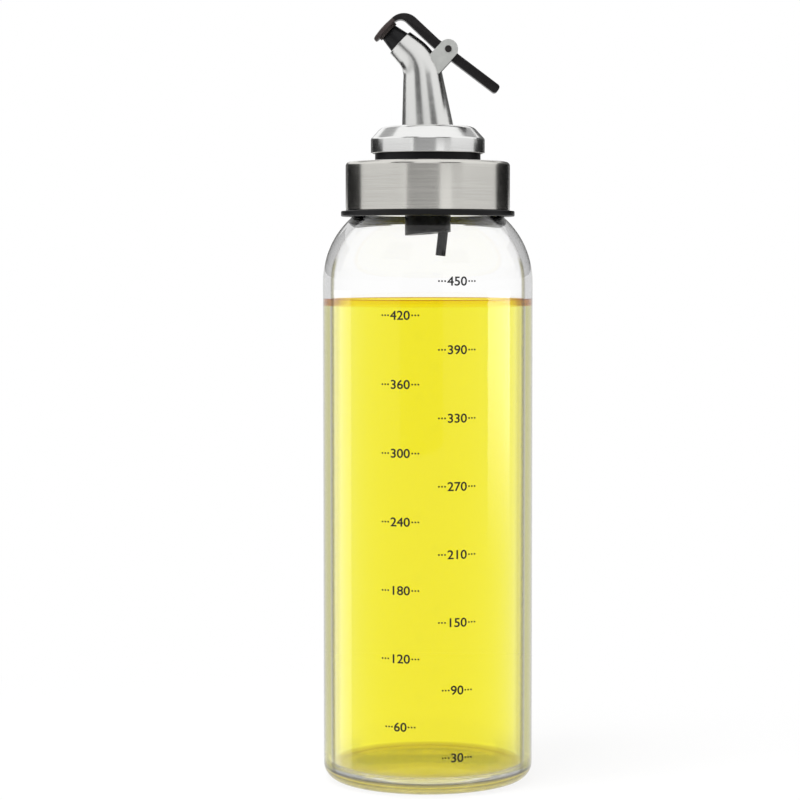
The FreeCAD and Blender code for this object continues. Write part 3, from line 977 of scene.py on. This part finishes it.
@dataclass
class Pourer:
    """Stopper, steel flange, bent spout, nozzle and hinge ears, sizes in millimetres."""

    polymers: Polymers
    cap_top: float
    collar: float = 2.6
    flange_radius: float = 17.6
    flange_skirt: float = 4.45
    flange_sheet: float = 0.6
    flange_edge: float = 0.15
    slope_height: float = 3.9
    slope_run: float = 3.6
    low_round: float = 0.9
    top_round: float = 3.0
    base_radius: float = 7.95
    mouth_radius: float = 4.5
    mouth_lip: float = 0.3
    lip_steps: int = 4
    spout_steps: int = 48
    sheet: float = 0.7
    foot_lean: float = 5.6
    foot_length: float = 15.1
    bend: float = 12.0
    lean: float = 47.0
    end_length: float = 4.6
    nozzle_radius: float = 3.2
    nozzle_head: float = 3.75
    nozzle_head_depth: float = 2.5
    nozzle_tip: float = 2.9
    nozzle_tip_edge: float = 0.18
    nozzle_tip_swell: float = 0.03
    nozzle_tip_bevel: Span = (0.05, 0.07)
    nozzle_bore: float = 2.2
    nozzle_reach: float = 4.5
    nozzle_seat: float = 7.0
    nozzle_bend: float = 16.0
    nozzle_steps: int = 24
    nozzle_segments: int = 64

    def __post_init__(self) -> None:
        """Stack the flange on the cap and work out the spout's mouth."""
        self.flange_z = self.cap_top + self.collar
        self.slope_z = self.flange_z + self.flange_skirt
        self.top_z = self.slope_z + self.slope_height
        self.foot_turn = math.radians(self.foot_lean)
        self.turn = math.radians(self.lean)
        self.elbow_length = self.bend * (self.turn - self.foot_turn)
        self.length = self.foot_length + self.elbow_length + self.end_length
        self.flow = self.heading(self.turn)
        self.rise = Vector((math.cos(self.turn), 0.0, math.sin(self.turn)))
        self.mouth = self.path(self.length)[0]

    @staticmethod
    def heading(lean: float) -> Vector:
        """The way the path runs where it leans by an angle in radians."""
        return Vector((-math.sin(lean), 0.0, math.cos(lean)))

    def path(self, length: float) -> tuple[Vector, float]:
        """A point on the spout's centreline and the lean there.

        Args:
            length: Distance along the path from the flange's top.

        Returns:
            The point in millimetres and the lean in radians.
        """
        foot = min(length, self.foot_length)
        elbow = min(max(length - self.foot_length, 0.0), self.elbow_length)
        end = max(length - self.foot_length - self.elbow_length, 0.0)
        lean = self.foot_turn + elbow / self.bend
        across = self.bend * (math.cos(lean) - math.cos(self.foot_turn))
        up = self.bend * (math.sin(lean) - math.sin(self.foot_turn))
        point = Vector((across, 0.0, self.top_z + up)) + self.heading(self.foot_turn) * foot
        return point + self.flow * end, lean

    def at_mouth(self, along: float, up: float, side: float = 0.0) -> Vector:
        """A point measured from the mouth along the flow, up to the spout's back and sideways."""
        return self.mouth + self.flow * along + self.rise * up + Vector((0.0, side, 0.0))

    @staticmethod
    def ring(middle: Vector, tilt: float, radius: float, segments: int = 96) -> list[Vector]:
        """A round section that faces along a leaning path.

        Args:
            middle: The section's centre.
            tilt: Its lean in radians.
            radius: Its radius.
            segments: Points round it.

        Returns:
            The section's points.
        """
        across = Vector((math.cos(tilt), 0.0, math.sin(tilt))) * radius
        side = Vector((0.0, radius, 0.0))
        return [middle + across * math.cos(a) + side * math.sin(a) for a in turn_angles(segments)]

    def spout_ring(self, length: float, inset: float) -> list[Vector]:
        """The spout's section at a distance along its path.

        Args:
            length: Distance along the path from the flange's top.
            inset: How far inside the outer skin.

        Returns:
            The section's points.
        """
        middle, lean = self.path(length)
        tilt = lean * min(1.0, length / self.foot_length)
        share = length / self.length
        radius = self.base_radius + (self.mouth_radius - self.base_radius) * share
        return self.ring(middle, tilt, radius - inset)

    def build_flange(self) -> Object:
        """Turn the spun steel cover with its soft bends."""
        slope = math.atan2(self.slope_height, self.slope_run)
        low_cut = self.low_round * math.tan((math.pi / 2 - slope) / 2)
        top_cut = self.top_round * math.tan(slope / 2)
        uphill = Vector((-math.cos(slope), math.sin(slope)))
        inward = Vector((-math.sin(slope), -math.cos(slope))) * self.flange_sheet
        outer, foot, edge = self.flange_radius, self.flange_z, self.flange_edge
        inner, hole = outer - self.flange_sheet, self.base_radius - self.sheet
        low = Vector((outer, self.slope_z)) + uphill * low_cut
        high = Vector((outer - self.slope_run, self.top_z)) - uphill * top_cut
        low_centre = (outer - self.low_round, self.slope_z - low_cut)
        top_centre = (outer - self.slope_run - top_cut, self.top_z - self.top_round)
        under_z = self.top_z - self.flange_sheet
        o = Outline(inner, foot + edge).line(inner + edge, foot).line(outer - edge, foot)
        o.line(outer, foot + edge).line(outer, low_centre[1]).arc(low.x, low.y, low_centre, 6)
        o.line(high.x, high.y).arc(top_centre[0], self.top_z, top_centre, 12)
        o.line(hole, self.top_z).line(hole, under_z).line(top_centre[0], under_z)
        high, low = high + inward, low + inward
        o.arc(high.x, high.y, top_centre, 8).line(low.x, low.y).arc(inner, low_centre[1], low_centre, 4)
        return o.turned("pourer_steel_flange", 160)

    def build_spout(self) -> Object:
        """Sweep the tapering steel spout with a rolled mouth."""
        steps, lip = self.spout_steps, self.mouth_lip
        rings = [self.spout_ring(self.length * i / steps, 0.0) for i in range(steps)]
        for k in range(self.lip_steps + 1):
            a = math.pi / 2 * k / self.lip_steps
            rings.append(self.spout_ring(self.length - lip * (1 - math.sin(a)), lip * (1 - math.cos(a))))
        rings += [self.spout_ring(self.length * i / steps, self.sheet) for i in range(steps, -1, -1)]
        return ring_mesh("spout_steel", rings)

    def nozzle_stations(self) -> list[tuple[Vector, float]]:
        """Centres and leans along the nozzle: up the axis, round its bend and out along the mouth's axis."""
        corner = self.mouth + self.flow * (self.mouth.x / math.sin(self.turn))
        cut = self.nozzle_bend * math.tan(self.turn / 2)
        start = corner - Vector((0.0, 0.0, cut))
        stations = [(Vector((0.0, 0.0, self.top_z - self.nozzle_seat)), 0.0)]
        for i in range(self.nozzle_steps + 1):
            a = self.turn * i / self.nozzle_steps
            arc = Vector((-self.nozzle_bend * (1 - math.cos(a)), 0.0, self.nozzle_bend * math.sin(a)))
            stations.append((start + arc, a))
        return stations

    def build_nozzle(self) -> Object:
        """Sweep the nozzle through the spout, with its head and round-edged tapered tip."""
        run, around = self.nozzle_stations(), self.nozzle_segments
        rings = [self.ring(middle, lean, self.nozzle_radius, around) for middle, lean in run]
        reach, tip, edge = self.nozzle_reach, self.nozzle_tip, self.nozzle_tip_edge
        depth, head, bore = -self.nozzle_head_depth, self.nozzle_head, self.nozzle_bore
        steps = [(depth, self.nozzle_radius), (depth, head), (0.0, head)]
        back, drop = self.nozzle_tip_bevel
        steps += [(reach - edge, tip + self.nozzle_tip_swell), (reach - back, tip - drop)]
        steps += [(reach, tip - edge), (reach, bore + edge), (reach - edge, bore)]
        rings += [self.ring(self.at_mouth(along, 0.0), self.turn, radius, around) for along, radius in steps]
        rings += [self.ring(middle, lean, bore, around) for middle, lean in reversed(run)]
        return ring_mesh("nozzle_tube", rings)

    def build(self) -> None:
        """Build, dress and place the pourer."""
        spun = TurnedSteel("flange_spun_steel", (0.93, 0.93, 0.92), (0.16, 0.22), 5200.0, 0.04, 0.12, 0.4)
        drawn = TurnedSteel("spout_drawn_steel", (0.77, 0.77, 0.755), (0.2, 0.27), 700.0, 0.02, 0.08, 0.0)
        satin = MouldedFinish("ear_satin_steel", (0.60, 0.61, 0.59), 0.42, 900.0, 0.12, metallic=0.85)
        dark = TurnedSteel("pin_dark_steel", (0.06, 0.055, 0.055), (0.35, 0.5), 4000.0, 0.05, 0.2, 0.0)
        black = self.polymers[Polymer.BLACK]
        place(self.build_flange(), spun.material(), Body.POURER, "polished_steel", "pourer_flange")
        place(self.build_spout(), drawn.material(), Body.POURER, "polished_steel", "spout_shell")
        place(self.build_nozzle(), black, Body.POURER, "black_plastic", "nozzle")
        dress_nodes(black, "stopper_core", "air_tube")
        dress_nodes(self.polymers[Polymer.RUBBER], "stopper_sleeve")
        dress_nodes(satin.material(), "hinge_ear_front", "hinge_ear_rear")
        dress_nodes(dark.material(), "pivot_pin")


@dataclass
class FlipLever:
    """Black lever with its lid, sizes in millimetres from the spout's mouth."""

    polymers: Polymers
    pourer: Pourer
    pivot_back: float = 12.4
    pivot_up: float = 8.54
    width: float = 5.6
    thickness: float = 2.95
    drop: float = 1.24
    boss_radius: float = 2.3
    boss_edge: float = 0.25
    pin_radius: float = 0.85
    tail_ahead: float = 4.0
    tail: float = 23.9
    tail_rise: float = 6.0
    tail_round: float = 1.0
    arch_outer: float = 5.4
    arch_inner: float = 2.45
    lid_radius: float = 4.8
    lid_under: float = 5.35
    lid_thickness: float = 1.5
    lid_crown: float = 0.3
    lid_edge: float = 0.2
    lid_round: float = 0.7
    lid_dome: Span = (0.5, 0.7)
    segments: int = 64
    bevel: float = 0.45
    bevel_steps: int = 4
    sharp_degrees: float = 40.0

    def __post_init__(self) -> None:
        """Work out the bar's levels."""
        self.mid = self.pivot_up - self.drop
        self.top = self.mid + self.thickness / 2
        self.bottom = self.mid - self.thickness / 2
        self.lid_top = self.lid_under + self.lid_thickness

    def bar_outline(self) -> list[Span]:
        """The bar's side view, as points along the flow and up."""
        bend = math.radians(self.tail_rise)
        half, r = self.thickness / 2, self.tail_round
        shift = half * math.tan(bend / 2)
        out = Vector((-math.cos(bend), math.sin(bend)))
        over = Vector((math.sin(bend), math.cos(bend)))
        turn = self.tail_ahead - self.pivot_back
        end = Vector((turn, self.mid)) + out * self.tail
        high, low = end - out * r + over * (half - r), end - out * r - over * (half - r)
        front, top = self.lid_top - self.arch_outer, self.top - self.arch_outer
        root, under = self.lid_under - self.arch_inner, self.bottom - self.arch_inner
        o = Outline(*(high + over * r)).line(turn + shift, self.top).line(front, self.top)
        o.arc(self.lid_top, top, (front, top), 20).line(self.lid_top, 0.0).line(self.lid_under, 0.0)
        o.line(self.lid_under, under).arc(root, self.bottom, (root, under), 14)
        o.line(turn - shift, self.bottom).line(*(low - over * r))
        o.arc(*(low + out * r), tuple(low), 6).line(*(high + out * r))
        o.arc(*(high + over * r), tuple(high), 6)
        return o.points[:-1]

    def build_bar(self) -> Object:
        """Push the bar's outline out to the lever's width and round its edges."""
        outline = self.bar_outline()
        bm = bmesh.new()
        sides = []
        for half in (-self.width / 2, self.width / 2):
            sides.append([bm.verts.new(self.pourer.at_mouth(a, u, half)) for a, u in outline])
        bm.faces.new(sides[0])
        bm.faces.new(list(reversed(sides[1])))
        count = len(outline)
        for i in range(count):
            j = (i + 1) % count
            bm.faces.new((sides[0][j], sides[0][i], sides[1][i], sides[1][j]))
        bmesh.ops.recalc_face_normals(bm, faces=bm.faces)
        rim = [e for e in bm.edges if e.calc_face_angle(0.0) > math.radians(self.sharp_degrees)]
        rounding = {"offset": self.bevel, "segments": self.bevel_steps, "profile": 0.5, "clamp_overlap": True}
        bmesh.ops.bevel(bm, geom=rim, affect="EDGES", **rounding)
        return link_mesh("lever_bar", bm, self.sharp_degrees)

    def round_lump(self, name: str, profile: list[Span], start: Vector, axis: Vector) -> Object:
        """Turn a profile about its own axis.

        Args:
            name: The object's name.
            profile: Closed profile as radius and distance along the axis.
            start: Where the axis starts.
            axis: The axis's direction.

        Returns:
            The turned lump.
        """
        across = axis.orthogonal().normalized()
        side = axis.cross(across)
        spokes = [across * math.cos(a) + side * math.sin(a) for a in turn_angles(self.segments)]
        rings = [[start + axis * along + spoke * radius for spoke in spokes] for radius, along in profile]
        return ring_mesh(name, rings)

    def build_boss(self) -> Object:
        """Turn the boss that the pin runs through."""
        wide, r, hole, e = self.width, self.boss_radius, self.pin_radius, self.boss_edge
        profile = [(hole, 0.0), (r - e, 0.0), (r, e), (r, wide - e), (r - e, wide), (hole, wide)]
        start = self.pourer.at_mouth(-self.pivot_back, self.pivot_up, -wide / 2)
        return self.round_lump("lever_boss", profile, start, Vector((0.0, 1.0, 0.0)))

    def build_lid(self) -> Object:
        """Turn the lid with its low crown."""
        deep, size, e, r = self.lid_thickness, self.lid_radius, self.lid_edge, self.lid_round
        out, up = self.lid_dome
        profile = [(0.0, 0.0), (size - e, 0.0), (size, e), (size, deep - r), (size - e, deep - e)]
        profile += [(size - r, deep), (size * out, deep + up * self.lid_crown), (0.0, deep + self.lid_crown)]
        start = self.pourer.at_mouth(self.lid_under, 0.0)
        return self.round_lump("lever_lid", profile, start, self.pourer.flow)

    def build(self) -> None:
        """Build, dress and place the lever."""
        black = self.polymers[Polymer.LEVER]
        place(self.build_bar(), black, Body.LEVER, "lever_plastic", "flip_lever")
        place(self.build_boss(), black, Body.LEVER, "lever_plastic")
        place(self.build_lid(), self.polymers[Polymer.LID], Body.LEVER, "lever_plastic")
        dress_nodes(self.polymers[Polymer.PAD], "lid_pad")


@dataclass(frozen=True)
class Card:
    """An upright card that mirrors show: degrees round from behind to the right, metres, grey tone."""

    name: str
    azimuth: float
    distance: float
    width: float
    low: float
    high: float
    tone: float
    fades_down: bool = False


CARDS = (
    Card("cap_edge_left", -62.0, 0.0967, 0.078, 0.168, 0.206, 0.012),
    Card("cap_edge_right", 60.0, 0.0967, 0.074, 0.168, 0.206, 0.012),
    Card("flange_side_left", -46.0, 0.25, 0.15, 0.34, 0.52, 0.4),
    Card("flange_side_right", 46.0, 0.25, 0.15, 0.34, 0.52, 0.4),
    Card("spout_edge_left", -34.0, 1.0, 1.06, 0.2, 0.42, 0.12),
    Card("spout_edge_right", 34.0, 1.0, 1.06, 0.2, 0.65, 0.12),
    Card("skirt_left", -108.0, 0.3, 0.5, 0.168, 0.228, 0.68),
    Card("skirt_right", 108.0, 0.3, 0.5, 0.168, 0.228, 0.68),
    Card("skirt_front", 186.0, 1.0, 0.83, 0.264, 0.4, 0.2),
    Card("front_grey", 187.0, 1.3, 1.1, 0.0, 0.285, 0.42),
    Card("spout_streak_left", -145.0, 0.15, 0.085, 0.228, 0.32, 0.14),
    Card("spout_streak_right", 150.0, 0.15, 0.08, 0.215, 0.272, 0.05),
    Card("strip_left", -99.6, 0.054, 0.0253, 0.0, 0.152, 2.8),
    Card("strip_right", 117.6, 0.0562, 0.0253, 0.06, 0.152, 7.0, fades_down=True),
)


@dataclass
class Studio:
    """Camera, white sweep, soft lamps and the cards that metal and glass edges mirror."""

    camera_distance: float = 0.7987
    camera_height: float = 0.16105
    camera_pitch: float = 3.088
    lens: float = 115.84
    axis_pixel: float = 427.8
    frame_pixels: float = 800.0
    sensor: float = 36.0
    clip: Span = (0.01, 20.0)
    sky_light: float = 0.55
    floor_size: float = 4000.0
    floor_drop: float = 0.3
    strip_tone: float = 1.0
    grid: Span = (0.72, 0.8)
    lamp_aim: Colour = (0.0, 0.0, 0.16)

    def add_camera(self) -> None:
        """Stand the camera where the photograph was taken."""
        data = bpy.data.cameras.new("camera")
        data.lens = self.lens
        data.sensor_width = self.sensor
        data.shift_x = (self.frame_pixels / 2 - self.axis_pixel) / self.frame_pixels
        data.clip_start, data.clip_end = self.clip
        camera = linked("camera", data)
        camera.location = (0.0, -self.camera_distance, self.camera_height)
        camera.rotation_euler = (math.radians(90.0 - self.camera_pitch), 0.0, 0.0)
        bpy.context.scene.camera = camera

    def add_world(self) -> None:
        """Light the room softly, and show it white to eye, metal and glass."""
        world = bpy.data.worlds.new("studio")
        bpy.context.scene.world = world
        world.use_nodes = True
        c = Canvas("studio_sky", world.node_tree)
        seen, strength = stage_light(c)
        soft = c.product(c.math("SUBTRACT", 1.0, seen), self.sky_light)
        total = c.math("ADD", c.product(seen, strength), soft)
        c.surface(c.add("Background", {"Color": WHITE, "Strength": total}))

    def add_floor(self) -> None:
        """Lay the pale floor."""
        bm = bmesh.new()
        bmesh.ops.create_grid(bm, x_segments=2, y_segments=2, size=self.floor_size)
        bmesh.ops.translate(bm, vec=(0.0, 0.0, -self.floor_drop), verts=bm.verts)
        floor = link_mesh("floor", bm)
        dress(floor, StudioPaper().material())

    def card_light(self, card: Card) -> Material:
        """Build a card's light. A strip has a grid, so that it shines straight to the left and right only.

        Args:
            card: The card's tone and heights.

        Returns:
            The card's material.
        """
        c = Canvas(card.name + "_card")
        strength = card.tone
        if card.fades_down:
            height = c.add("SeparateXYZ", {0: c.add("TexCoord").outputs["Object"]}).outputs[2]
            strength = c.math("ADD", 1.0, c.product(c.ease(height, card.low, card.high), card.tone - 1.0))
        light = c.add("Emission", {"Color": WHITE, "Strength": strength})
        if card.tone > self.strip_tone:
            across = c.add("SeparateXYZ", {0: c.add("NewGeometry").outputs["Incoming"]}).outputs[0]
            open_share = c.ease(c.math("ABSOLUTE", across), *self.grid)
            light = c.mixed(open_share, c.add("BsdfTransparent"), light)
        return c.surface(light)

    def add_card(self, card: Card) -> None:
        """Stand a card where only mirrors show it.

        Args:
            card: The card's place, size and tone.
        """
        bm = bmesh.new()
        a = math.radians(card.azimuth)
        out = Vector((math.sin(a), math.cos(a), 0.0)) * card.distance
        along = Vector((math.cos(a), -math.sin(a), 0.0)) * (card.width / 2)
        corners = []
        for side, z in ((-1.0, card.low), (1.0, card.low), (1.0, card.high), (-1.0, card.high)):
            corners.append(bm.verts.new((out + along * side + Vector((0.0, 0.0, z))) / MM))
        bm.faces.new(corners)
        board = link_mesh(card.name, bm)
        dress(board, self.card_light(card))
        for kind in RAY_KINDS:
            setattr(board, "visible_" + kind, kind == "glossy")

    def add_lamp(self, name: str, spot: Colour, size: Span, power: float) -> None:
        """Hang a soft lamp that looks at the cap.

        Args:
            name: The lamp's name.
            spot: Its place in metres.
            size: Width and height in metres.
            power: Watts.
        """
        data = bpy.data.lights.new(name, "AREA")
        data.shape = "RECTANGLE"
        data.size, data.size_y = size
        data.energy = power
        lamp = linked(name, data)
        lamp.location = spot
        lamp.rotation_euler = (Vector(self.lamp_aim) - Vector(spot)).to_track_quat("-Z", "Y").to_euler()
        lamp.visible_glossy = False
        lamp.visible_transmission = False

    def build(self) -> None:
        """Set up the whole studio."""
        self.add_camera()
        self.add_world()
        self.add_floor()
        for card in CARDS:
            self.add_card(card)
        self.add_lamp("top_softbox", (-0.25, -0.35, 0.95), (0.5, 0.5), 7.0)
        self.add_lamp("left_softbox", (-0.8, -0.5, 0.4), (0.3, 0.8), 4.0)
        bpy.context.scene.view_settings.view_transform = "Standard"


def main() -> None:
    """Build every sub-assembly in order."""
    logging.basicConfig(level=logging.INFO, format="%(message)s")
    polymers = {kind: kind.value.material() for kind in Polymer}
    Studio().build()
    bottle = GlassBottle()
    bottle.build()
    cap = ScrewCap(polymers, bottle.rim_z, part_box("cap_liner")[0].z / MM)
    cap.build()
    pourer = Pourer(polymers, cap.top_z)
    pourer.build()
    FlipLever(polymers, pourer).build()


if __name__ == "__main__":
    main()
